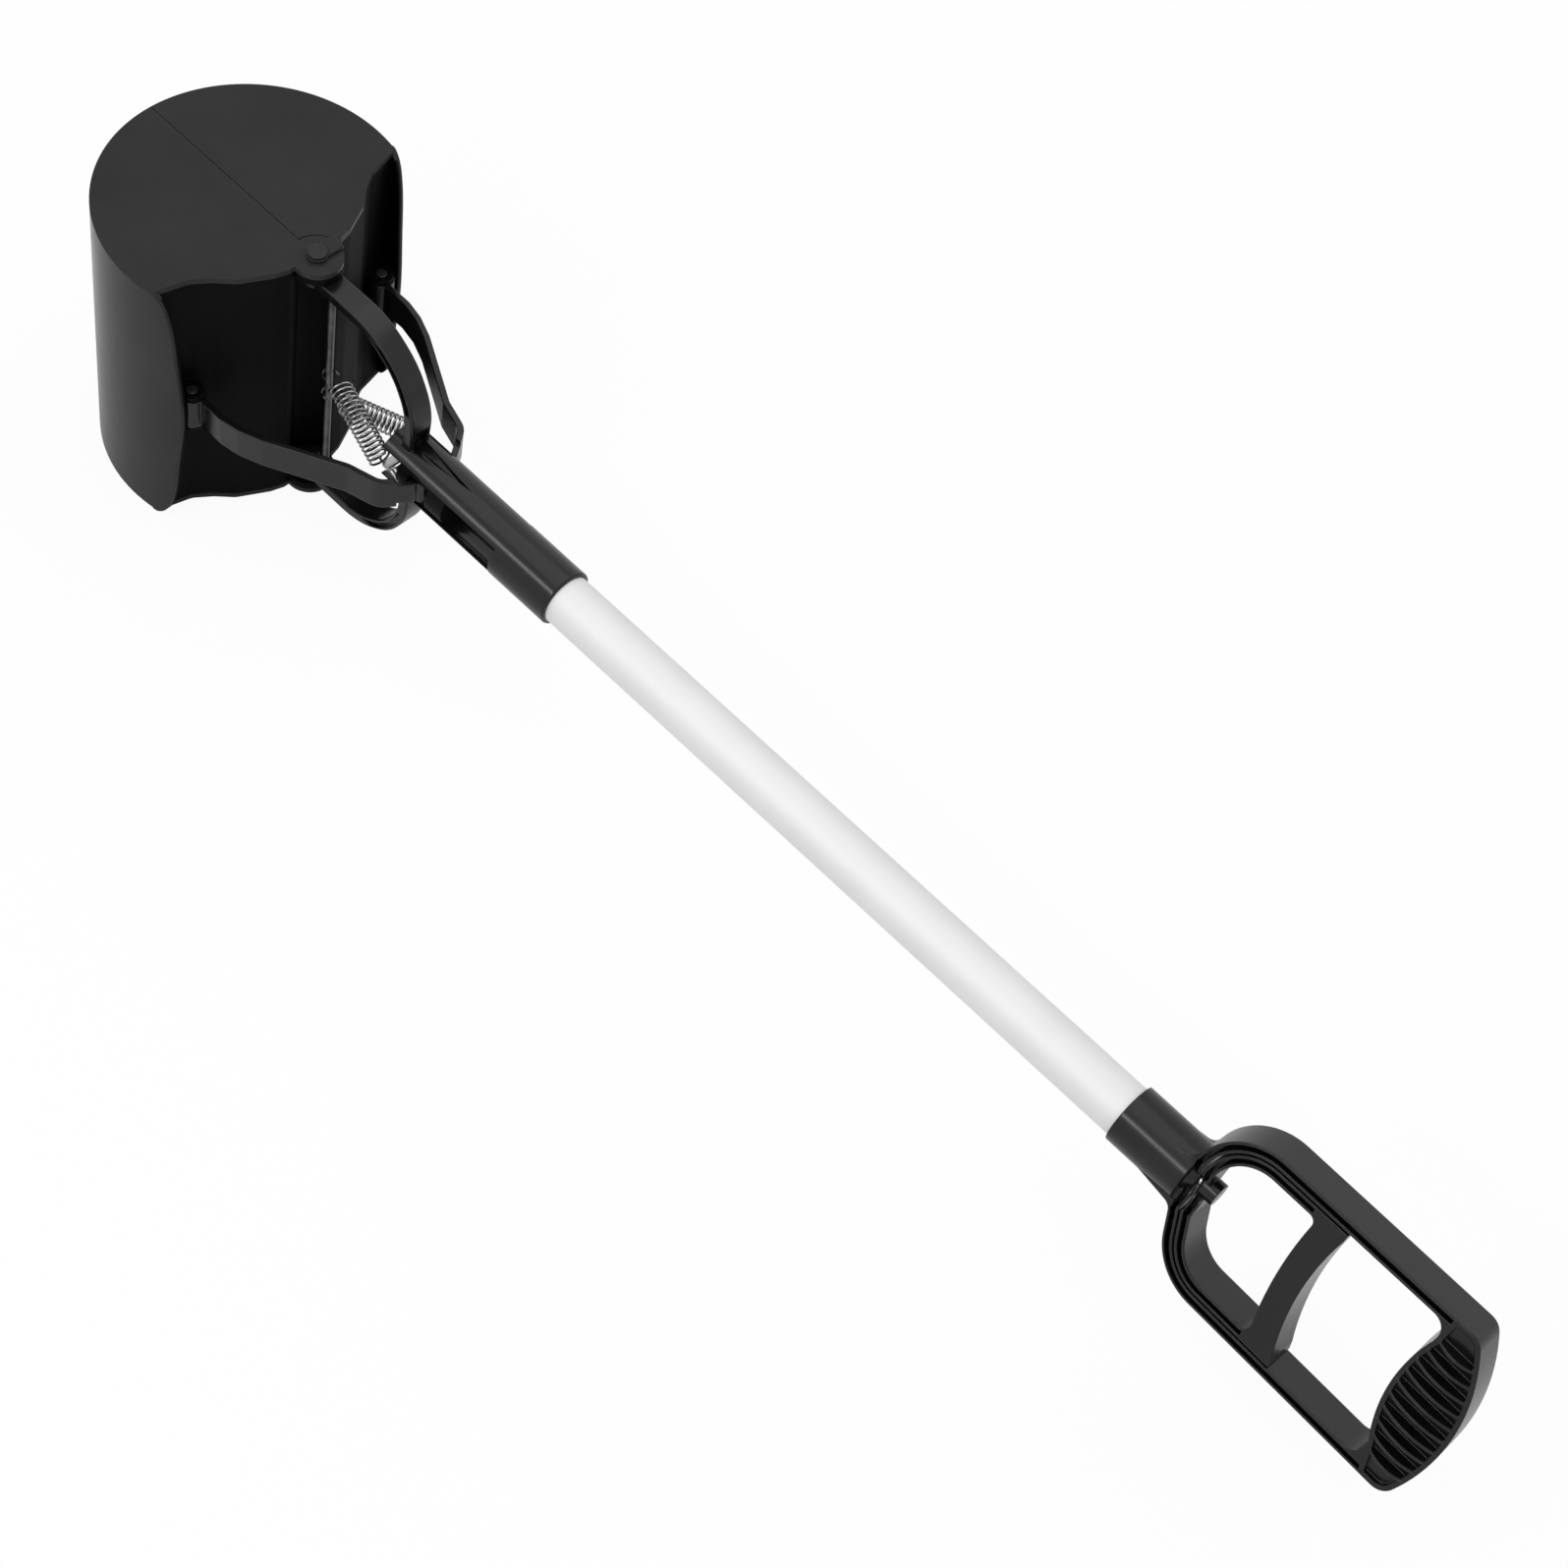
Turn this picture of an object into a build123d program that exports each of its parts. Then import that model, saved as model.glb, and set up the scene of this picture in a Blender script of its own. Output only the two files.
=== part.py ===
from build123d import *
from math import cos, pi, radians, sin, sqrt
import os

os.makedirs("parts", exist_ok=True)

# Long-handled scooper: a round bucket of two jaws on one vertical hinge line, a forked
# socket, a tube and a D-shaped handle with a sliding trigger inside it.
# The hinge line is the working origin, +X runs to the handle and +Z is up.

# Bucket
bucket_radius = 72.5
bucket_height = 154.0
jaw_wall = 2.5
jaw_plate = 3.0
seam_gap = 0.4
reach_share = 0.586
corner_share = 0.207
rear_edge_shares = [(0.265, 0.735), (0.345, 0.615), (0.440, 0.510), (0.545, 0.300), (0.572, 0.205)]
rear_edge_bend = 9.0
rim_round = 0.9
fin_reach = 14.0
fin_shares = [(1.0, 0.0), (0.81, 0.45), (0.52, 0.86), (0.27, 0.96), (0.0, 1.0)]

# Knuckles and hinge pins
knuckle_radius = 12.0
knuckle_clearance = 0.6
disc_thickness = 3.2
disc_gap = 0.3
finger_width = 8.0
finger_thickness = 1.6
finger_length = 20.0
pin_radius = 3.0
pin_head_radius = 4.5
pin_head_height = 1.2
pin_recess = 0.3
running_clearance = 0.06

# Fork
fork_gap = 0.5
arm_thickness = 5.8
arm_width = 12.2
eye_radius = 8.0
bow_depth = 71.8
bow_shares = [(0.575, 1.0), (0.838, 0.812), (0.988, 0.52)]
bow_bend = 36.0
arm_round = 1.0
web_recess = 2.4
web_margin = 1.4
web_low_share = 0.50
web_high_share = 0.90
socket_radius = 14.4
socket_start = 60.0
socket_step = 135.0
socket_end = 171.0
socket_rim = 1.2
slot_height = 18.8
groove_length = 36.0
groove_depth = 1.8
groove_rise = 10.0

# Tube
tube_diameter = 25.0
tube_wall = 1.2
tube_seat = 31.0
tube_fit = 0.03

# Spring rod
rod_x = 11.0
spring_rod_radius = 1.75
rod_seat = 2.0

# Trigger stroke and its slider
stroke = 28.0
slider_clearance = 0.3
slider_start = 71.0
slider_length = 30.0
slider_face = 7.0
spine_width = 4.8
cheek_height = 12.6
pull_rod_radius = 2.6
pull_rod_seat = 91.0

# Spring plate: a cross bar with a tongue and wire legs
spring_plate_start = 61.5
spring_plate_length = 4.5
spring_plate_thickness = 1.5
spring_plate_half = 12.6
spring_plate_corner = 1.2
tongue_half = 3.0
leg_radius = 0.6
leg_places = [9.2, 11.2]
leg_drop = 4.0
leg_seat = 1.5

# Springs
wire = 1.1
coil_radius = 5.05
coil_turns = 16.25
coil_start = 20.3
coil_end = 59.8
coil_rise = 6.2
coil_aside = 1.2
coil_spread = 11.3
hook_height = 6.6
hook_gap = 1.0
hook_tail = 3.0

# Links
link_x_share = 0.345
link_y_share = 0.79
slider_pin_x = 84.0
slider_pin_y = 7.0
slider_pin_radius = 1.5
pin_seat = 1.5
link_thickness = 3.0
link_height = 16.8
link_shares = [(0.19, 0.97), (0.29, 0.93), (0.40, 0.84), (0.745, 0.455), (0.90, 0.36), (0.98, 0.12)]
link_bend = 9.0
link_eye_radius = 6.2
link_hole_radius = 4.3
link_pin_radius = 2.5
link_tip_radius = 4.1
link_tip_height = 12.0
link_neck = 13.5
lug_radius = 5.6
lug_thickness = 2.5
lug_gap = 0.5
lug_root = 10.0

# Handle frame
handle_twist = 65.0
handle_yaw = 1.6
slant_share = 0.14
handle_socket_length = 36.0
handle_socket_radius = 14.3
neck_x = 548.5
neck_half = 12.5
neck_bend = 5.0
gusset_length = 24.0
gusset_half = 9.5
shoulder_length = 8.8
shoulder_half = 42.3
rail_length = 135.5
rear_half = 44.0
grip_bulge = 11.5
shoulder_bend = 30.0
rear_bend = 8.0
handle_depth = 20.0
rail = 4.8
flange = 1.2
groove_floor = 2.0
grip_width = 21.0
grip_hollow = 5.5
grip_corner_half = 29.0
window_bend = 7.0
grip_floor = 7.4
tube_stop_wall = 8.5
rod_bore_clearance = 0.4
rail_round = 0.5

# Trigger
trigger_gap = 1.1
ring = 4.6
bar_front = 53.0
bar_front_hollow = 3.0
bar_back = 65.0
bar_back_hollow = 4.5
bar_side_half = 33.5
boss_radius = 5.5
boss_length = 8.5
hub_radius = 12.0
hub_length = 7.0
saddle_radius = 10.5
saddle_height = 14.0
rod_end_wall = 2.5

# Grip ribs
rib_count = 10
rib_span = 62.0
rib_thickness = 1.4
rib_bulge = 3.5
rib_set_in = 1.0

overrun = 1.0
near = 0.02

half_height = bucket_height / 2
bucket_reach = bucket_radius * reach_share
plate_inside = half_height - jaw_plate
knuckle_bore = knuckle_radius + knuckle_clearance
disc_top = plate_inside - disc_gap
disc_bottom = disc_top - disc_thickness
fork_face = disc_bottom - fork_gap
finger_bottom = half_height + disc_gap
finger_top = finger_bottom + finger_thickness
arm_middle = fork_face - arm_thickness / 2
arm_inside = fork_face - arm_thickness
tube_radius = tube_diameter / 2
tube_bore = tube_radius - tube_wall
socket_bore = tube_radius + tube_fit
slider_radius = socket_bore - slider_clearance
slider_end = slider_start + slider_length
spring_plate_end = spring_plate_start + spring_plate_length
link_x = bucket_radius * link_x_share - bucket_reach
link_y = bucket_radius * link_y_share
tube_stop = neck_x - tube_stop_wall
handle_socket_start = neck_x - handle_socket_length
shoulder_x = neck_x + shoulder_length
rear_x = neck_x + rail_length
grip_end = rear_x + grip_bulge
grip_inner_x = rear_x - grip_width
grip_corner_x = grip_inner_x + grip_hollow
bar_front_x = neck_x + bar_front
bar_front_side_x = bar_front_x + bar_front_hollow
bar_back_x = neck_x + bar_back
bar_back_side_x = bar_back_x + bar_back_hollow
ring_start = neck_x + rail + trigger_gap
boss_end = ring_start + boss_length
rod_end = boss_end - rod_end_wall
row_x = -(grip_end + bucket_radius + bucket_reach) / 2 + bucket_radius + bucket_reach
row_z = half_height


def box(x_low, x_high, y_low, y_high, z_low, z_high):
    middle = Location(((x_low + x_high) / 2, (y_low + y_high) / 2, (z_low + z_high) / 2))
    return middle * Box(x_high - x_low, y_high - y_low, z_high - z_low)


def post(x, y, radius, z_low, z_high):
    return Location((x, y, (z_low + z_high) / 2)) * Cylinder(radius, z_high - z_low)


def bar(radius, x_low, x_high):
    return Location(((x_low + x_high) / 2, 0, 0)) * Rotation(0, 90, 0) * Cylinder(radius, x_high - x_low)


def slab(face, z_low, z_high):
    return Location((0, 0, z_low)) * extrude(face, z_high - z_low)


def band(points, bend, thickness):
    path = FilletPolyline(*points, radius=bend)
    return make_face(offset(path, thickness / 2, side=Side.BOTH))


def both_ends(shape):
    return shape + mirror(shape, about=Plane.XY)


# Bucket plan: one round outline with a stepped rear edge
def bucket_plan():
    corner = (bucket_radius * corner_share, bucket_radius * sqrt(1 - corner_share**2))
    corner = (corner[0] - bucket_reach, corner[1])
    edge = [corner] + [(bucket_radius * x - bucket_reach, bucket_radius * y) for x, y in rear_edge_shares]
    below = [(x, -y) for x, y in reversed(edge)]
    mouth = ThreePointArc(corner, (-bucket_reach - bucket_radius, 0), below[-1])
    steps = FilletPolyline(*edge, radius=rear_edge_bend)
    steps_below = FilletPolyline(*below, radius=rear_edge_bend)
    return make_face(Curve() + [mouth, steps, Line(edge[-1], below[0]), steps_below])


def fin():
    shell = post(-bucket_reach, 0, bucket_radius, -half_height, half_height)
    shell -= post(-bucket_reach, 0, bucket_radius - jaw_wall, -bucket_height, bucket_height)
    start = bucket_radius * corner_share - bucket_reach
    upper = [(start + fin_reach * x, half_height * z) for x, z in fin_shares]
    lower = [(x, -z) for x, z in reversed(upper[1:])]
    edge = Spline(*lower, *upper)
    back = start - jaw_wall
    ends = Polyline(upper[-1], (back, half_height), (back, -half_height), lower[0])
    side = Plane.XZ * make_face(Curve() + [edge, ends])
    return shell & extrude(side, bucket_radius + overrun, both=True)


def half(side):
    edge = seam_gap / 2
    far = bucket_radius + overrun
    back = -bucket_reach - far
    ahead = bucket_radius
    if side > 0:
        return box(back, ahead, edge, far, -bucket_height, bucket_height)
    return box(back, ahead, -far, -edge, -bucket_height, bucket_height)


def lug(side):
    root = box(link_x - lug_root, link_x, link_y - lug_radius, link_y + lug_radius, 0, lug_thickness)
    ear = root + post(link_x, link_y, lug_radius, 0, lug_thickness)
    ear -= post(link_x, link_y, link_pin_radius, -overrun, lug_thickness + overrun)
    ear = Location((0, 0, link_height / 2 + lug_gap)) * ear
    ear = both_ends(ear)
    return ear if side > 0 else mirror(ear, about=Plane.XZ)


def jaw_shell(side, own_low, own_high):
    plan = bucket_plan()
    hollow = slab(offset(plan, -jaw_wall), -plate_inside, plate_inside)
    hollow -= post(0, 0, knuckle_bore + jaw_wall, -half_height, half_height)
    drum = slab(plan, -half_height, half_height)
    rims = drum.edges().filter_by(Plane.XY).filter_by(lambda rim: rim.length > bucket_radius)
    shell = fillet(rims, rim_round) - hollow
    clear = post(0, 0, knuckle_bore, -bucket_height, bucket_height)
    own = both_ends(post(0, 0, knuckle_bore + overrun, own_low, own_high))
    shell -= clear - own
    shell += fin()
    shell = shell & half(side)
    shell += both_ends(post(0, 0, knuckle_radius, own_low, own_high))
    shell += lug(side)
    return shell - post(0, 0, pin_radius + running_clearance, -bucket_height, bucket_height)


def left_jaw():
    return jaw_shell(-1, plate_inside, half_height)


# The right jaw's knuckles lie under the left ones, and a thin finger reaches over the top
def right_jaw():
    jaw = jaw_shell(1, disc_bottom, disc_top)
    root = box(-finger_width / 2, finger_width / 2, 0, finger_length, finger_bottom, finger_top)
    foot = box(-finger_width / 2, finger_width / 2, knuckle_bore, finger_length, plate_inside, finger_top)
    foot &= slab(bucket_plan(), -half_height, finger_top)
    root &= slab(bucket_plan(), -half_height, finger_top) + post(0, 0, knuckle_bore, finger_bottom,
                                                                 finger_top)
    finger = root + foot + post(0, 0, finger_width / 2 + overrun, finger_bottom, finger_top)
    return jaw + finger - post(0, 0, pin_radius + running_clearance, 0, bucket_height)


def hinge_pin(top, head_height):
    pin = post(0, 0, pin_radius, arm_inside - overrun, top)
    foot_top = arm_inside - running_clearance
    foot = post(0, 0, pin_head_radius, arm_inside - overrun - pin_head_height, foot_top)
    head = post(0, 0, pin_head_radius, top, top + head_height) if head_height > 0 else None
    pin += foot
    return pin + head if head else pin


def upper_hinge_pin():
    return hinge_pin(finger_top, pin_head_height)


def lower_hinge_pin():
    return mirror(hinge_pin(half_height - pin_recess, 0), about=Plane.XY)


# Fork: two bowed arms, a long socket with link slots, one moulding
def arm_face(thickness):
    points = [(bow_depth * x, arm_middle * z) for x, z in bow_shares]
    return band([(0, arm_middle), *points, (bow_depth - arm_thickness / 2, 0)], bow_bend, thickness)


def fork_arm():
    arm = extrude(Plane.XZ * arm_face(arm_thickness), arm_width / 2, both=True)
    long_edges = arm.edges().filter_by(lambda edge: abs(abs(edge.center().Y) - arm_width / 2) < near)
    arm = fillet(long_edges, arm_round)
    far = bow_depth + bucket_height
    core = Plane.XZ * arm_face(arm_thickness - web_margin * 2)
    web = extrude(core, arm_width, both=True)
    web -= extrude(core, arm_width / 2 - web_recess, both=True)
    web &= box(eye_radius, far, -arm_width, arm_width, fork_face * web_low_share,
               fork_face * web_high_share)
    arm -= web
    arm &= box(-bucket_height, far, -arm_width, arm_width, 0, bucket_height)
    arm += post(0, 0, eye_radius, arm_inside, fork_face)
    return arm - post(rod_x, 0, spring_rod_radius, 0, arm_inside + rod_seat)


def fork():
    body = bar(socket_radius, socket_start, socket_end)
    rim = body.edges().filter_by(GeomType.CIRCLE).sort_by(Axis.X)[-1]
    body = fillet(rim, socket_rim)
    body += both_ends(fork_arm())
    body -= bar(socket_bore, socket_start - arm_thickness - overrun, socket_end + overrun)
    body -= box(0, socket_step, -bucket_radius, bucket_radius, -slot_height / 2, slot_height / 2)
    wedge_half = arm_width / 2 - arm_round * 2
    back = bow_depth - groove_depth
    tip = bow_depth + groove_length
    wedge = Polygon((back, wedge_half), (back, -wedge_half), (tip, 0), align=None)
    body -= both_ends(slab(wedge, socket_radius - groove_depth, socket_radius + groove_rise))
    return body - post(0, 0, pin_radius, -bucket_height, bucket_height)


def spring_rod():
    reach = arm_inside + rod_seat
    return post(rod_x, 0, spring_rod_radius, -reach, reach)


def shaft_tube():
    start = socket_end - tube_seat
    return bar(tube_radius, start, tube_stop) - bar(tube_bore, start - overrun, tube_stop + overrun)


# Slider: a round block in the socket that holds the spring plate, the link tips and the pull rod
def slider():
    body = bar(slider_radius, slider_start, slider_end)
    room = box(slider_start + slider_face, pull_rod_seat - overrun, spine_width / 2, bucket_radius,
               -cheek_height / 2, cheek_height / 2)
    body -= room + mirror(room, about=Plane.XZ)
    body -= spring_plate()
    pin_reach = cheek_height / 2 + pin_seat
    for side in (slider_pin_y, -slider_pin_y):
        body -= post(slider_pin_x, side, slider_pin_radius, -pin_reach, pin_reach)
    return body - bar(pull_rod_radius, pull_rod_seat, slider_end + overrun)


def slider_pin(side):
    reach = cheek_height / 2 + pin_seat
    return post(slider_pin_x, side, slider_pin_radius, -reach, reach)


def spring_plate():
    outline = Rectangle(spring_plate_length, spring_plate_half * 2)
    outline = fillet(outline.vertices(), spring_plate_corner)
    plate = extrude(outline, spring_plate_thickness / 2, both=True)
    plate = Location(((spring_plate_start + spring_plate_end) / 2, 0, 0)) * plate
    plate += box(spring_plate_end - spring_plate_corner, slider_start + leg_seat, -tongue_half, tongue_half,
                 -spring_plate_thickness / 2, spring_plate_thickness / 2)
    for place in leg_places:
        for y in (place, -place):
            plate += leg(y)
    return plate


def leg(y):
    start = Vector(spring_plate_end - leg_radius * 2, y, 0)
    end = Vector(slider_start + leg_seat, y, -leg_drop)
    way = end - start
    return Plane(origin=(start + end) / 2, z_dir=way) * Cylinder(leg_radius, way.length)


def pull_rod():
    return bar(pull_rod_radius, pull_rod_seat, rod_end)


# Links: flat bands from the slider to the lugs on the jaws
def link(side):
    span = slider_pin_x - link_x
    drop = link_y - slider_pin_y
    route = [(link_x + span * x, slider_pin_y + drop * y) for x, y in link_shares]
    route = [(link_x, route[0][1]), *route, (slider_pin_x, slider_pin_y)]
    strip = slab(band(route, link_bend, link_thickness), -link_height / 2, link_height / 2)
    far = bucket_radius + bucket_reach
    thin = both_ends(box(slider_pin_x - link_neck, far, 0, route[-3][1] - link_thickness * 2,
                         link_tip_height / 2, link_height))
    strip -= thin
    strip += post(link_x, link_y, link_eye_radius, -link_height / 2, link_height / 2)
    strip += post(slider_pin_x, slider_pin_y, link_tip_radius, -link_tip_height / 2, link_tip_height / 2)
    strip -= post(link_x, link_y, link_hole_radius, -link_height, link_height)
    tip_hole = slider_pin_radius + running_clearance
    strip -= post(slider_pin_x, slider_pin_y, tip_hole, -link_height, link_height)
    return strip if side > 0 else mirror(strip, about=Plane.XZ)


def link_pin(side):
    reach = link_height / 2 + lug_gap + lug_thickness
    return post(link_x, link_y if side > 0 else -link_y, link_pin_radius, -reach, reach)


# Springs: a coil between the rod and a spring plate, with a hook round the rod
def biarc(start, start_way, end, end_way):
    chord = end - start
    a = 2 - 2 * start_way.dot(end_way)
    b = 2 * chord.dot(start_way + end_way)
    c = chord.dot(chord)
    reach = c / b if a < 1e-6 else (sqrt(b * b + 4 * a * c) - b) / (2 * a)
    first = start + start_way * reach
    second = end - end_way * reach
    middle = (first + second) / 2
    way = (second - first).normalized()
    return [Edge.make_tangent_arc(start, start_way, middle), Edge.make_tangent_arc(middle, way, end)]


def spring_path():
    first = Vector(coil_start, -coil_aside, coil_rise)
    last = Vector(coil_end, -coil_spread, 0)
    along = (last - first).normalized()
    across = along.cross(Vector(0, 0, 1)).normalized()
    upward = across.cross(along)
    length = (last - first).length

    def place(turn):
        angle = 2 * pi * turn
        ring_point = across * (coil_radius * cos(angle)) + upward * (coil_radius * sin(angle))
        way = (upward * cos(angle) - across * sin(angle)) * (2 * pi * coil_radius * coil_turns)
        point = first + along * (length * turn / coil_turns) + ring_point
        return point, (way + along * length).normalized()

    turns = [step / 4 for step in range(int(coil_turns * 4) + 1)]
    knots = [place(turn) for turn in turns]
    reach = spring_rod_radius + hook_gap + wire / 2
    ahead = Vector(1, 0, 0)
    tail = Vector(rod_x + hook_tail, reach, hook_height)
    near_side = Vector(rod_x, reach, hook_height)
    round_rod = Vector(rod_x, -reach, hook_height)
    edges = [Edge.make_line(tail, near_side)]
    edges += [Edge.make_tangent_arc(near_side, ahead * -1, round_rod)]
    edges += biarc(round_rod, ahead, *knots[0])
    for (start, start_way), (end, end_way) in zip(knots, knots[1:]):
        edges += biarc(start, start_way, end, end_way)
    seat = Vector(spring_plate_start, -coil_spread, 0)
    straight = seat - ahead * hook_gap
    edges += biarc(*knots[-1], straight, ahead)
    edges += [Edge.make_line(straight, seat)]
    return edges


def least_gap(edges):
    points = []
    travel = 0
    for edge in edges:
        count = max(4, int(edge.length / (wire / 3)))
        for step in range(count):
            points.append((travel + edge.length * step / count, edge @ (step / count)))
        travel += edge.length
    least = bucket_height
    for index, (place, point) in enumerate(points):
        for other_place, other in points[index + 1:]:
            if other_place - place > pi * wire * 2:
                least = min(least, (other - point).length)
    return least - wire


def upper_spring():
    edges = spring_path()
    print("spring: least gap to itself %.2f mm, smallest bend %.2f mm" %
          (least_gap(edges), min(e.radius for e in edges if e.geom_type == GeomType.CIRCLE)))
    start = Plane(origin=edges[0] @ 0, z_dir=edges[0] % 0)
    return sweep(start * Circle(wire / 2), path=Wire(edges))


def lower_spring():
    return upper_spring().rotate(Axis.X, 180)


# Handle frame: a D with a grooved rail, a hollow ribbed grip and a neck on the tube.
# Its two sides are not level: every outline point is shifted along the tube by its distance from it.
def slanted(x, y):
    return (x - slant_share * y, y)


def handle_outline():
    corners = [(neck_x - gusset_length, gusset_half), (neck_x, neck_half)]
    corners += [(shoulder_x, shoulder_half), (rear_x, rear_half)]
    above = [slanted(x, y) for x, y in corners]
    below = [slanted(x, -y) for x, y in reversed(corners)]
    grip = ThreePointArc(above[-1], (grip_end, 0), below[0])
    face = make_face(Curve() + [Polyline(*below, *above), grip])
    for x, bend in ((rear_x, rear_bend), (shoulder_x, shoulder_bend), (neck_x, neck_bend)):
        picked = [corner for corner in face.vertices() if abs(corner.X + slant_share * corner.Y - x) < near]
        face = fillet(picked, bend)
    return face


def between(x_low, x_high):
    top = rear_half + overrun
    corners = [slanted(x_low, -top), slanted(x_high, -top), slanted(x_high, top), slanted(x_low, top)]
    return Polygon(*corners, align=None)


def behind(x):
    return between(x, grip_end + overrun)


# One curved side across the D and everything from there to the given end
def bowed(x, side_x, half_width, end_x):
    top = rear_half + overrun
    slope = (side_x - x) / half_width
    spread = side_x + slope * (top - half_width)
    above = [slanted(end_x, top), slanted(spread, top), slanted(side_x, half_width)]
    below = [slanted(side_x, -half_width), slanted(spread, -top), slanted(end_x, -top)]
    arc = ThreePointArc(above[-1], (x, 0), below[0])
    return make_face(Curve() + [arc, Polyline(*below, *above)])


def grip_side(wall):
    return bowed(grip_inner_x + wall, grip_corner_x + wall, grip_corner_half, grip_end + overrun)


def groove(face_out, face_in):
    cut = slab(face_out - face_in, groove_floor, handle_depth)
    return both_ends(cut)


def rear_corners(face):
    return face.vertices().sort_by(lambda corner: corner.X + slant_share * corner.Y)[-2:]


def handle_window():
    window = offset(handle_outline(), -rail) & behind(neck_x + rail)
    window -= grip_side(0)
    return fillet(rear_corners(window), window_bend)


# The handle stands turned about the tube, and its D leans a little to one side of the tube's line
def leaned(shape):
    return shape.rotate(Axis((handle_socket_start, 0, 0), (0, 0, -1)), handle_yaw)


def twisted(shape):
    return shape.rotate(Axis.X, handle_twist)


def rib_lens(x_low, x_high, y):
    deep = handle_depth / 2
    top = ThreePointArc((x_low, deep), ((x_low + x_high) / 2, deep + rib_bulge), (x_high, deep))
    lens = make_face(Curve() + [top, Polyline((x_high, deep), (x_high, 0), (x_low, 0), (x_low, deep))])
    lens = Location((0, y, 0)) * extrude(Plane.XZ * lens, rib_thickness / 2, both=True)
    return both_ends(lens)


def grip_x(x, corner_x, half_width, y):
    return x + (corner_x - x) * (y / half_width)**2 - slant_share * y


# A rounded dip in both faces of the D, in line with the tube, that leaves the rod's bosses in view
def saddle():
    return both_ends(Location((0, 0, saddle_height)) * bar(saddle_radius, neck_x - gusset_length, boss_end))


def handle_frame():
    outline = handle_outline()
    window = handle_window()
    body = slab(outline, -handle_depth / 2, handle_depth / 2)
    rims = [rim for rim in body.edges() if abs(abs(rim.center().Z) - handle_depth / 2) < near]
    body = fillet(rims, rail_round) - slab(window, -handle_depth, handle_depth)
    inner = offset(outline, -flange)
    outer_lip = offset(outline, flange - rail) & behind(neck_x + rail - flange)
    body -= groove((inner & behind(neck_x + flange)) - grip_side(0), outer_lip)
    grip_wall = flange * 2
    pocket = offset(outline, -grip_wall) & grip_side(grip_wall)
    pocket -= offset(window, flange)
    body -= both_ends(slab(pocket, grip_floor, handle_depth))
    for index in range(rib_count):
        y = rib_span * (index / (rib_count - 1) - 0.5)
        low = grip_x(grip_inner_x, grip_corner_x, grip_corner_half, y) + rib_set_in
        high = grip_x(grip_end, rear_x, rear_half, y) - rib_set_in
        body += rib_lens(low, high, y)
    body = leaned(body - saddle())
    body += bar(handle_socket_radius, handle_socket_start, neck_x)
    hub_end = neck_x + rail - slant_share * boss_radius
    hub = Cone(hub_radius, boss_radius, hub_length)
    body += Location((hub_end - hub_length / 2, 0, 0)) * Rotation(0, 90, 0) * hub
    body -= bar(tube_radius + tube_fit, handle_socket_start - overrun, tube_stop)
    body -= bar(pull_rod_radius + rod_bore_clearance, tube_stop - overrun, neck_x + rail + overrun)
    return twisted(body)


# Trigger: a ring nested in the arch of the frame, closed by a finger bar
def trigger():
    outline = handle_outline()
    front = offset(outline, -(rail + trigger_gap)) & behind(ring_start)
    hole = offset(outline, -(rail + trigger_gap + ring)) & behind(ring_start + ring)
    bar_face = bowed(bar_back_x, bar_back_side_x, bar_side_half, neck_x - overrun)
    window = hole & bowed(bar_front_x, bar_front_side_x, bar_side_half, neck_x - overrun)
    window = fillet(rear_corners(window), window_bend / 2)
    body = slab(front & bar_face, -handle_depth / 2, handle_depth / 2)
    body -= slab(window, -handle_depth, handle_depth)
    outer = offset(outline, -(rail + trigger_gap + flange)) & bar_face & behind(ring_start + flange)
    inner = offset(window, flange)
    body -= groove(outer & between(neck_x, bar_front_x), inner)
    body = leaned(body - saddle())
    body += bar(boss_radius, ring_start + slant_share * boss_radius, boss_end)
    body -= bar(pull_rod_radius, neck_x, rod_end)
    return twisted(body)


pieces = {
    "fork": fork,
    "shaft_tube": shaft_tube,
    "spring_rod": spring_rod,
    "upper_hinge_pin": upper_hinge_pin,
    "lower_hinge_pin": lower_hinge_pin,
    "handle_frame": handle_frame,
    "left_jaw": left_jaw,
    "left_link_pin": lambda: link_pin(-1),
    "right_jaw": right_jaw,
    "right_link_pin": lambda: link_pin(1),
    "left_link": lambda: link(-1),
    "right_link": lambda: link(1),
    "slider": slider,
    "left_slider_pin": lambda: slider_pin(-slider_pin_y),
    "right_slider_pin": lambda: slider_pin(slider_pin_y),
    "spring_plate": spring_plate,
    "pull_rod": pull_rod,
    "trigger": trigger,
    "upper_spring": upper_spring,
    "lower_spring": lower_spring,
}

for name, make in pieces.items():
    piece = Location((row_x, 0, row_z)) * make()
    export_step(piece, "parts/" + name + ".step")
    print(name, round(piece.volume))
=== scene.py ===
import bmesh
import bpy
from mathutils import Matrix, Vector


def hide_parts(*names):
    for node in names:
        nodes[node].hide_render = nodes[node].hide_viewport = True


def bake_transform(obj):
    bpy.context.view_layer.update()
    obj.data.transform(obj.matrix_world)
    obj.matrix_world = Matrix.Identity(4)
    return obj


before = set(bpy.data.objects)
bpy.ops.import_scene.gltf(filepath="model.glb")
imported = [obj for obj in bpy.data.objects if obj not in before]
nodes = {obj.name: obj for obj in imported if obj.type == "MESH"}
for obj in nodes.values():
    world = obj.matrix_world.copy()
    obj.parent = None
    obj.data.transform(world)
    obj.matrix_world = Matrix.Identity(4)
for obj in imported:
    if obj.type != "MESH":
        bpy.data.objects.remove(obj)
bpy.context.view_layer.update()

print("frame loaded:", len(nodes), "nodes")

millimetre = 0.001

# where the hinge line of the two jaws stands in the frame, in metres
hingeLine = Vector((-0.2902575, 0.0, 0.077))

# most of a noise's values lie between these two
noiseLow = 0.3
noiseHigh = 0.7


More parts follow.
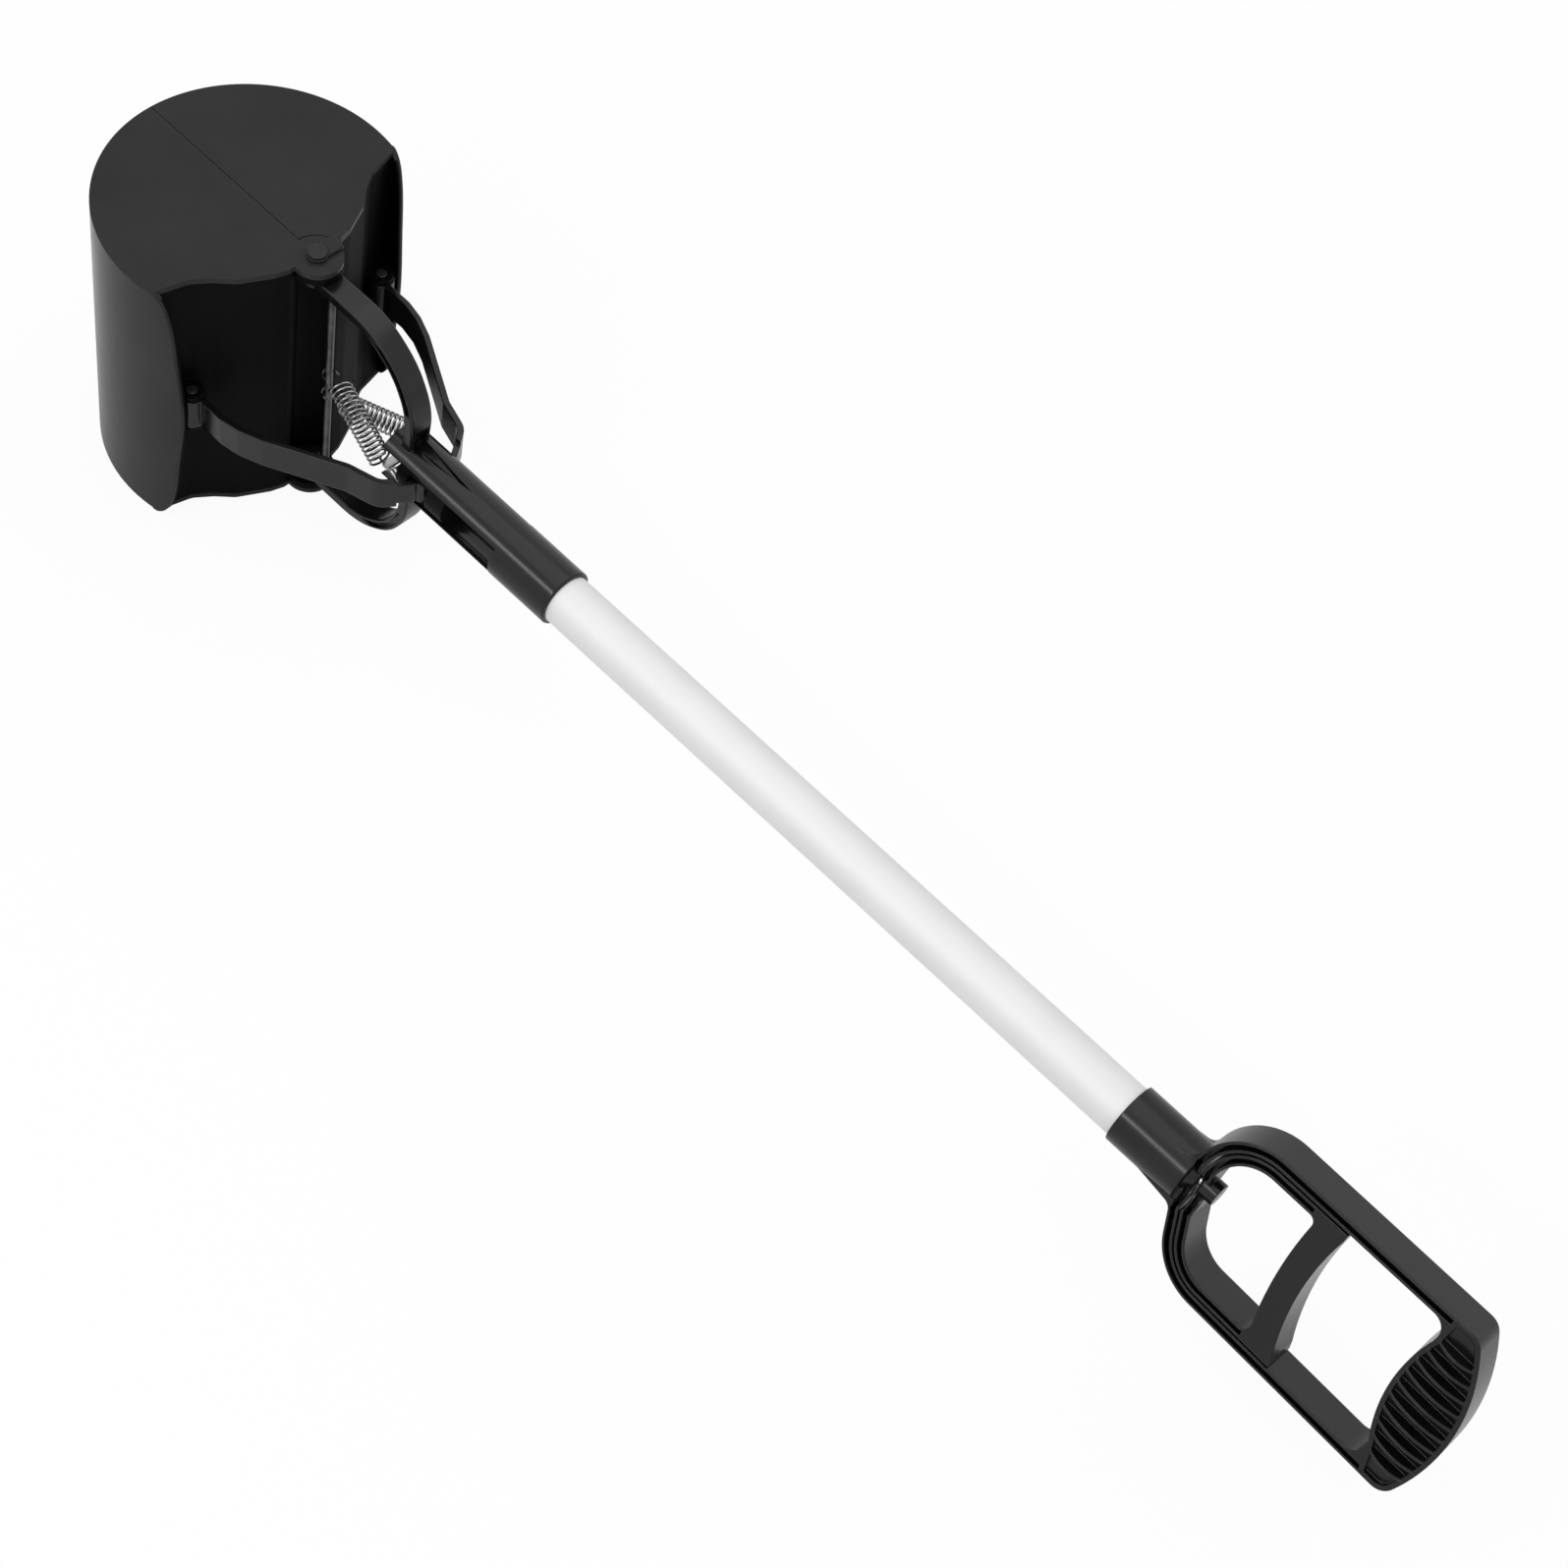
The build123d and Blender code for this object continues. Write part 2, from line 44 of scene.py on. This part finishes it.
def atHinge(x, y, z):
    return hingeLine + Vector((x, y, z)) * millimetre


def placeObject(name, data):
    thing = bpy.data.objects.new(name, data)
    bpy.context.scene.collection.objects.link(thing)
    return thing


def placeShape(name, shape):
    mesh = bpy.data.meshes.new(name)
    shape.to_mesh(mesh)
    shape.free()
    return placeObject(name, mesh)


def newMaterial(name):
    material = bpy.data.materials.new(name)
    material.use_nodes = True
    tree = material.node_tree
    return material, tree, tree.nodes["Principled BSDF"]


def addNode(tree, kind, **settings):
    node = tree.nodes.new(kind)
    for key, value in settings.items():
        setattr(node, key, value)
    return node


def vectorMath(tree, operation, first, second=None):
    node = addNode(tree, "ShaderNodeVectorMath", operation=operation)
    tree.links.new(first, node.inputs[0])
    if second is not None:
        node.inputs[1].default_value = second
    return node.outputs["Value" if operation == "LENGTH" else "Vector"]


def joinMath(tree, operation, first, second=0.0):
    node = addNode(tree, "ShaderNodeMath", operation=operation)
    for socket, value in zip(node.inputs, (first, second)):
        if isinstance(value, (int, float)):
            socket.default_value = value
        else:
            tree.links.new(value, socket)
    return node.outputs["Value"]


def objectPlace(tree):
    return addNode(tree, "ShaderNodeTexCoord").outputs["Object"]


def heightOf(tree, place):
    split = addNode(tree, "ShaderNodeSeparateXYZ")
    tree.links.new(place, split.inputs["Vector"])
    return split.outputs["Z"]


def stretchedNoise(tree, scale, detail, rough=0.5, stretch=(1, 1, 1)):
    mapping = addNode(tree, "ShaderNodeMapping")
    mapping.inputs["Scale"].default_value = stretch
    noise = addNode(tree, "ShaderNodeTexNoise")
    noise.inputs["Scale"].default_value = scale
    noise.inputs["Detail"].default_value = detail
    noise.inputs["Roughness"].default_value = rough
    tree.links.new(objectPlace(tree), mapping.inputs["Vector"])
    tree.links.new(mapping.outputs["Vector"], noise.inputs["Vector"])
    return noise.outputs["Fac"]


def remap(tree, source, low, high, fromLow=noiseLow, fromHigh=noiseHigh):
    span = addNode(tree, "ShaderNodeMapRange")
    span.inputs["From Min"].default_value = fromLow
    span.inputs["From Max"].default_value = fromHigh
    span.inputs["To Min"].default_value = low
    span.inputs["To Max"].default_value = high
    tree.links.new(source, span.inputs["Value"])
    return span.outputs["Result"]


def twoTone(tree, source, first, second, low=noiseLow, high=noiseHigh):
    ramp = addNode(tree, "ShaderNodeValToRGB")
    ramp.color_ramp.elements[0].position = low
    ramp.color_ramp.elements[0].color = (*first, 1)
    ramp.color_ramp.elements[1].position = high
    ramp.color_ramp.elements[1].color = (*second, 1)
    tree.links.new(source, ramp.inputs["Fac"])
    return ramp.outputs["Color"]


def blendColors(tree, mask, first, second):
    mix = addNode(tree, "ShaderNodeMix", data_type="RGBA")
    tree.links.new(mask, mix.inputs[0])
    tree.links.new(first, mix.inputs[6])
    tree.links.new(second, mix.inputs[7])
    return mix.outputs[2]


def mixShaders(tree, share, first, second):
    mix = addNode(tree, "ShaderNodeMixShader")
    tree.links.new(share, mix.inputs["Fac"])
    tree.links.new(first.outputs[0], mix.inputs[1])
    tree.links.new(second.outputs[0], mix.inputs[2])
    return mix.outputs[0]


def paint(tree, shader, color, rough):
    tree.links.new(color, shader.inputs["Base Color"])
    tree.links.new(rough, shader.inputs["Roughness"])


def roundedBump(tree, shader, height, strength, depth, edge):
    # a small moulded radius on the sharp edges carries the fine surface texture
    soft = addNode(tree, "ShaderNodeBevel", samples=8)
    soft.inputs["Radius"].default_value = edge
    bump = addNode(tree, "ShaderNodeBump")
    bump.inputs["Strength"].default_value = strength
    bump.inputs["Distance"].default_value = depth
    tree.links.new(height, bump.inputs["Height"])
    tree.links.new(soft.outputs["Normal"], bump.inputs["Normal"])
    tree.links.new(bump.outputs["Normal"], shader.inputs["Normal"])


plasticLook = {
    "dark": (0.0035, 0.0035, 0.0038),
    "light": (0.0065, 0.0065, 0.0070),
    "smudge": {"scale": 18.0, "detail": 6.0, "rough": 0.6},
    "grain": {"scale": 2200.0, "detail": 2.0},
    "bump": {"strength": 0.3, "depth": 0.00002, "edge": 0.0010},
    "roughLow": 0.18,
    "roughHigh": 0.25,
    "specular": 0.33,
}

# the slider sits in the shade of the socket's slots; its darker colour is that shade, painted
# in, and it is also duller
slotLook = {
    **plasticLook,
    "dark": (0.0020, 0.0020, 0.0022),
    "light": (0.0040, 0.0040, 0.0043),
    "roughLow": 0.50,
    "roughHigh": 0.58,
    "specular": 0.08,
}

# the bucket's outside is greyer than the rest; inside its wall and end plates it is dull, and
# painted nearly black as painted shade
bucketLook = {
    **plasticLook,
    # the greyer outside tone partly stands in for the sheen that the low specular leaves out: a
    # painted sheen on top of the plastic's own tone
    "dark": (0.0262, 0.0262, 0.0267),
    "light": (0.0334, 0.0334, 0.0340),
    "specular": 0.065,
    "insideShadeDark": (0.0004, 0.0004, 0.0004),
    "insideShadeLight": plasticLook["dark"],
    "insideShadeSpread": (0.4, 1.0),
    "insideRough": 0.60,
    "wallRadius": 0.0712,
    "plateInside": 0.0742,
    "axis": (-42.485, 0.0, 0.0),
}


# marks the surfaces within the bucket's wall and between its end plates, which get the painted
# shade and the duller finish
def insideBucket(tree, look):
    away = vectorMath(tree, "SUBTRACT", objectPlace(tree), tuple(atHinge(*look["axis"])))
    level = joinMath(tree, "ABSOLUTE", heightOf(tree, away))
    flattened = vectorMath(tree, "MULTIPLY", away, (1, 1, 0))
    radius = vectorMath(tree, "LENGTH", flattened)
    within = joinMath(tree, "LESS_THAN", radius, look["wallRadius"])
    between = joinMath(tree, "LESS_THAN", level, look["plateInside"])
    return joinMath(tree, "MULTIPLY", within, between)


def mouldedPlastic(name, look):
    material, tree, shader = newMaterial(name)
    shader.inputs["Specular IOR Level"].default_value = look["specular"]
    smudge = stretchedNoise(tree, **look["smudge"])
    color = twoTone(tree, smudge, look["dark"], look["light"])
    rough = remap(tree, smudge, look["roughLow"], look["roughHigh"])
    if "wallRadius" in look:
        mask = insideBucket(tree, look)
        # within the bucket the colour is painted nearly black, a painted shade, and the
        # roughness is raised
        inside = twoTone(tree, smudge, look["insideShadeDark"], look["insideShadeLight"],
                         *look["insideShadeSpread"])
        color = blendColors(tree, mask, color, inside)
        dull = joinMath(tree, "MULTIPLY", mask, look["insideRough"])
        rough = joinMath(tree, "MAXIMUM", rough, dull)
    paint(tree, shader, color, rough)
    roundedBump(tree, shader, stretchedNoise(tree, **look["grain"]), **look["bump"])
    return material


tubeLook = {
    "dark": (0.71, 0.71, 0.712),
    "light": (0.75, 0.75, 0.752),
    "cloud": {"scale": 22.0, "detail": 3.0},
    "lines": {"scale": 700.0, "detail": 2.0, "stretch": (0.01, 1, 1)},
    "bump": {"strength": 0.015, "depth": 0.00001, "edge": 0.0022},
    "roughLow": 0.66,
    "roughHigh": 0.70,
    "metal": 0.60,
}


def drawnTube(name, look):
    material, tree, shader = newMaterial(name)
    shader.inputs["Metallic"].default_value = look["metal"]
    cloud = stretchedNoise(tree, **look["cloud"])
    color = twoTone(tree, cloud, look["dark"], look["light"])
    paint(tree, shader, color, remap(tree, cloud, look["roughLow"], look["roughHigh"]))
    roundedBump(tree, shader, stretchedNoise(tree, **look["lines"]), **look["bump"])
    return material


steelLook = {
    "dark": (0.52, 0.525, 0.53),
    "light": (0.66, 0.665, 0.67),
    "cloud": {"scale": 160.0, "detail": 3.0},
    "bump": {"strength": 0.06, "depth": 0.00001, "edge": 0.0003},
    "roughLow": 0.22,
    "roughHigh": 0.32,
    "metal": 1.0,
}

# the cross plate is dull and darker on top, and its wire legs below it are painted bright, a
# painted highlight
plateLook = {
    **steelLook,
    "dark": (0.28, 0.281, 0.283),
    "light": (0.38, 0.381, 0.383),
    "roughLow": 0.24,
    "roughHigh": 0.34,
    "legHighlight": (0.90, 0.90, 0.905),
    "legHighlightSpread": (0.1, 0.4),
    "legTop": (0.0, 0.0, -0.7),
}

rodLook = {
    **steelLook,
    "dark": (0.10, 0.10, 0.102),
    "light": (0.16, 0.16, 0.163),
    "roughLow": 0.34,
    "roughHigh": 0.46,
}


def platedSteel(name, look):
    material, tree, shader = newMaterial(name)
    shader.inputs["Metallic"].default_value = look["metal"]
    cloud = stretchedNoise(tree, **look["cloud"])
    color = twoTone(tree, cloud, look["dark"], look["light"])
    # below a set height the legs are painted bright, a painted highlight
    if "legTop" in look:
        legTop = atHinge(*look["legTop"]).z
        below = joinMath(tree, "LESS_THAN", heightOf(tree, objectPlace(tree)), legTop)
        highlitLegs = twoTone(tree, cloud, look["light"], look["legHighlight"], *look["legHighlightSpread"])
        color = blendColors(tree, below, color, highlitLegs)
    paint(tree, shader, color, remap(tree, cloud, look["roughLow"], look["roughHigh"]))
    roundedBump(tree, shader, cloud, **look["bump"])
    return material


blackPlastic = mouldedPlastic("blackPlastic", plasticLook)
slotPlastic = mouldedPlastic("slotPlastic", slotLook)
bucketPlastic = mouldedPlastic("bucketPlastic", bucketLook)
satinTube = drawnTube("satinTube", tubeLook)
brightSteel = platedSteel("brightSteel", steelLook)
dullSteel = platedSteel("dullSteel", rodLook)
highlitPlateSteel = platedSteel("highlitPlateSteel", plateLook)

# every node without a row here is bright steel
finishes = {
    "fork": blackPlastic,
    "handle_frame": blackPlastic,
    "trigger": blackPlastic,
    "left_link": blackPlastic,
    "right_link": blackPlastic,
    "upper_hinge_pin": blackPlastic,
    "lower_hinge_pin": blackPlastic,
    "slider": slotPlastic,
    "left_jaw": bucketPlastic,
    "right_jaw": bucketPlastic,
    "shaft_tube": satinTube,
    "spring_plate": highlitPlateSteel,
    "spring_rod": dullSteel,
    "left_link_pin": dullSteel,
    "right_link_pin": dullSteel,
}


def dress(piece, material):
    piece.data.materials.clear()
    piece.data.materials.append(material)


for nodeName, node in nodes.items():
    dress(node, finishes.get(nodeName, brightSteel))
print("materials on the carried-over nodes")

# each spring's middle line, from beside the rod to one end of the spring plate
springPlan = {
    "upper_spring": {"rodSide": (20.3, -1.2, 6.2), "plateSide": (60.3, -11.3, 0.0)},
    "lower_spring": {"rodSide": (20.3, 1.2, -6.2), "plateSide": (60.3, 11.3, 0.0)},
}

# darker towards the middle of the coil, a painted shade, and bright on its outside
wireLook = {
    "coreShade": (0.012, 0.012, 0.013),
    "dark": (0.25, 0.252, 0.255),
    "light": (0.52, 0.523, 0.528),
    "coreSpread": (0.3, 1.0),
    "cloud": {"scale": 300.0, "detail": 2.0},
    "coreRadius": 0.00475,
    "skinRadius": 0.00535,
    "roughLow": 0.22,
    "roughHigh": 0.32,
    "metal": 1.0,
    "weld": 0.00001,
}


def springWire(name, plan, look):
    material, tree, shader = newMaterial(name)
    shader.inputs["Metallic"].default_value = look["metal"]
    start = atHinge(*plan["rodSide"])
    along = (atHinge(*plan["plateSide"]) - start).normalized()
    away = vectorMath(tree, "SUBTRACT", objectPlace(tree), tuple(start))
    across = vectorMath(tree, "CROSS_PRODUCT", away, tuple(along))
    radius = vectorMath(tree, "LENGTH", across)
    # the wire nearer the coil's middle line is painted dark, a painted shade
    mask = remap(tree, radius, 0.0, 1.0, look["coreRadius"], look["skinRadius"])
    cloud = stretchedNoise(tree, **look["cloud"])
    skin = twoTone(tree, cloud, look["dark"], look["light"])
    paintedCoreShade = twoTone(tree, cloud, look["coreShade"], look["dark"], *look["coreSpread"])
    paint(tree, shader, blendColors(tree, mask, paintedCoreShade, skin),
          remap(tree, cloud, look["roughLow"], look["roughHigh"]))
    return material


# the spring's own mesh, welded and shaded smooth
def windSpring(nodeName, plan, look):
    shape = bmesh.new()
    shape.from_mesh(nodes[nodeName].data)
    bmesh.ops.remove_doubles(shape, verts=shape.verts, dist=look["weld"])
    for face in shape.faces:
        face.smooth = True
    spring = placeShape("wound_" + nodeName, shape)
    dress(spring, springWire("wire_" + nodeName, plan, look))
    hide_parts(nodeName)
    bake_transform(spring)


for nodeName, plan in springPlan.items():
    windSpring(nodeName, plan, wireLook)
print("springs wound")

# camera at the photograph's place
cameraPlan = {
    "place": (711.7, -651.9, 1132.4),
    "right": (0.7062, 0.6924, 0.1478),
    "up": (-0.6426, 0.5392, 0.5443),
    "back": (0.2972, -0.4793, 0.8258),
    "lens": 72.18,
    "sensor": 36.0,
    "near": 0.05,
    "far": 50.0,
}


def placeCamera(plan):
    lens = bpy.data.cameras.new("photoCamera")
    lens.sensor_width = plan["sensor"]
    lens.lens = plan["lens"]
    lens.clip_start = plan["near"]
    lens.clip_end = plan["far"]
    camera = placeObject("photoCamera", lens)
    turn = Matrix((plan["right"], plan["up"], plan["back"])).transposed().to_4x4()
    camera.matrix_world = Matrix.Translation(atHinge(*plan["place"])) @ turn
    bpy.context.scene.camera = camera


placeCamera(cameraPlan)

# pale floor that also glows a little towards the camera
floorPlan = {
    "half": 6.0,
    "cells": 2,
    "color": (0.92, 0.92, 0.92),
    "rough": 0.8,
    "glow": 0.93,
}

# white where it is seen or mirrored, and weaker as the light from all around
worldPlan = {
    "fill": 0.58,
    "seen": 1.0,
    "color": (1, 1, 1, 1),
}

# only the lamps with a streak show in glossy surfaces
lampPlans = [
    {"name": "keyLamp", "place": (-0.25, -1.25, 1.25), "aim": (-0.05, 0, 0.05),
     "size": 1.7, "long": 0.22, "power": 9.5, "streak": True},
    {"name": "topLamp", "place": (-0.5, 0.25, 1.9), "aim": (-0.1, 0, 0.05),
     "size": 2.0, "long": 2.0, "power": 9.0, "streak": True},
    {"name": "rimLamp", "place": (0.35, 1.5, 0.9), "aim": (0, 0, 0.08),
     "size": 1.4, "long": 0.8, "power": 4.0, "streak": False},
]


def layFloor(plan):
    shape = bmesh.new()
    bmesh.ops.create_grid(shape, x_segments=plan["cells"], y_segments=plan["cells"],
                          size=plan["half"])
    floor = placeShape("studioFloor", shape)
    material, tree, shader = newMaterial("paleFloor")
    shader.inputs["Base Color"].default_value = (*plan["color"], 1)
    shader.inputs["Roughness"].default_value = plan["rough"]
    glow = addNode(tree, "ShaderNodeEmission")
    rays = addNode(tree, "ShaderNodeLightPath")
    share = joinMath(tree, "MULTIPLY", rays.outputs["Is Camera Ray"], plan["glow"])
    tree.links.new(mixShaders(tree, share, shader, glow),
                   tree.nodes["Material Output"].inputs["Surface"])
    dress(floor, material)


def plainBackground(tree, strength, color):
    background = addNode(tree, "ShaderNodeBackground")
    background.inputs["Strength"].default_value = strength
    background.inputs["Color"].default_value = color
    return background


def lightWorld(plan):
    world = bpy.data.worlds.new("plainStudio")
    bpy.context.scene.world = world
    world.use_nodes = True
    tree = world.node_tree
    tree.nodes.clear()
    output = addNode(tree, "ShaderNodeOutputWorld")
    fill = plainBackground(tree, plan["fill"], plan["color"])
    seen = plainBackground(tree, plan["seen"], plan["color"])
    rays = addNode(tree, "ShaderNodeLightPath")
    straight = joinMath(tree, "MAXIMUM", rays.outputs["Is Camera Ray"],
                        rays.outputs["Is Glossy Ray"])
    visible = joinMath(tree, "MAXIMUM", straight, rays.outputs["Is Transmission Ray"])
    tree.links.new(mixShaders(tree, visible, fill, seen), output.inputs["Surface"])


def hangLamp(lamp):
    light = bpy.data.lights.new(lamp["name"], "AREA")
    light.energy = lamp["power"]
    light.shape = "RECTANGLE"
    light.size = lamp["size"]
    light.size_y = lamp["long"]
    holder = placeObject(lamp["name"], light)
    place = Vector(lamp["place"])
    holder.location = place
    holder.rotation_euler = (Vector(lamp["aim"]) - place).to_track_quat("-Z", "Y").to_euler()
    holder.visible_glossy = lamp["streak"]


layFloor(floorPlan)
lightWorld(worldPlan)
for lamp in lampPlans:
    hangLamp(lamp)
bpy.context.scene.view_settings.view_transform = "Standard"
print("studio ready")
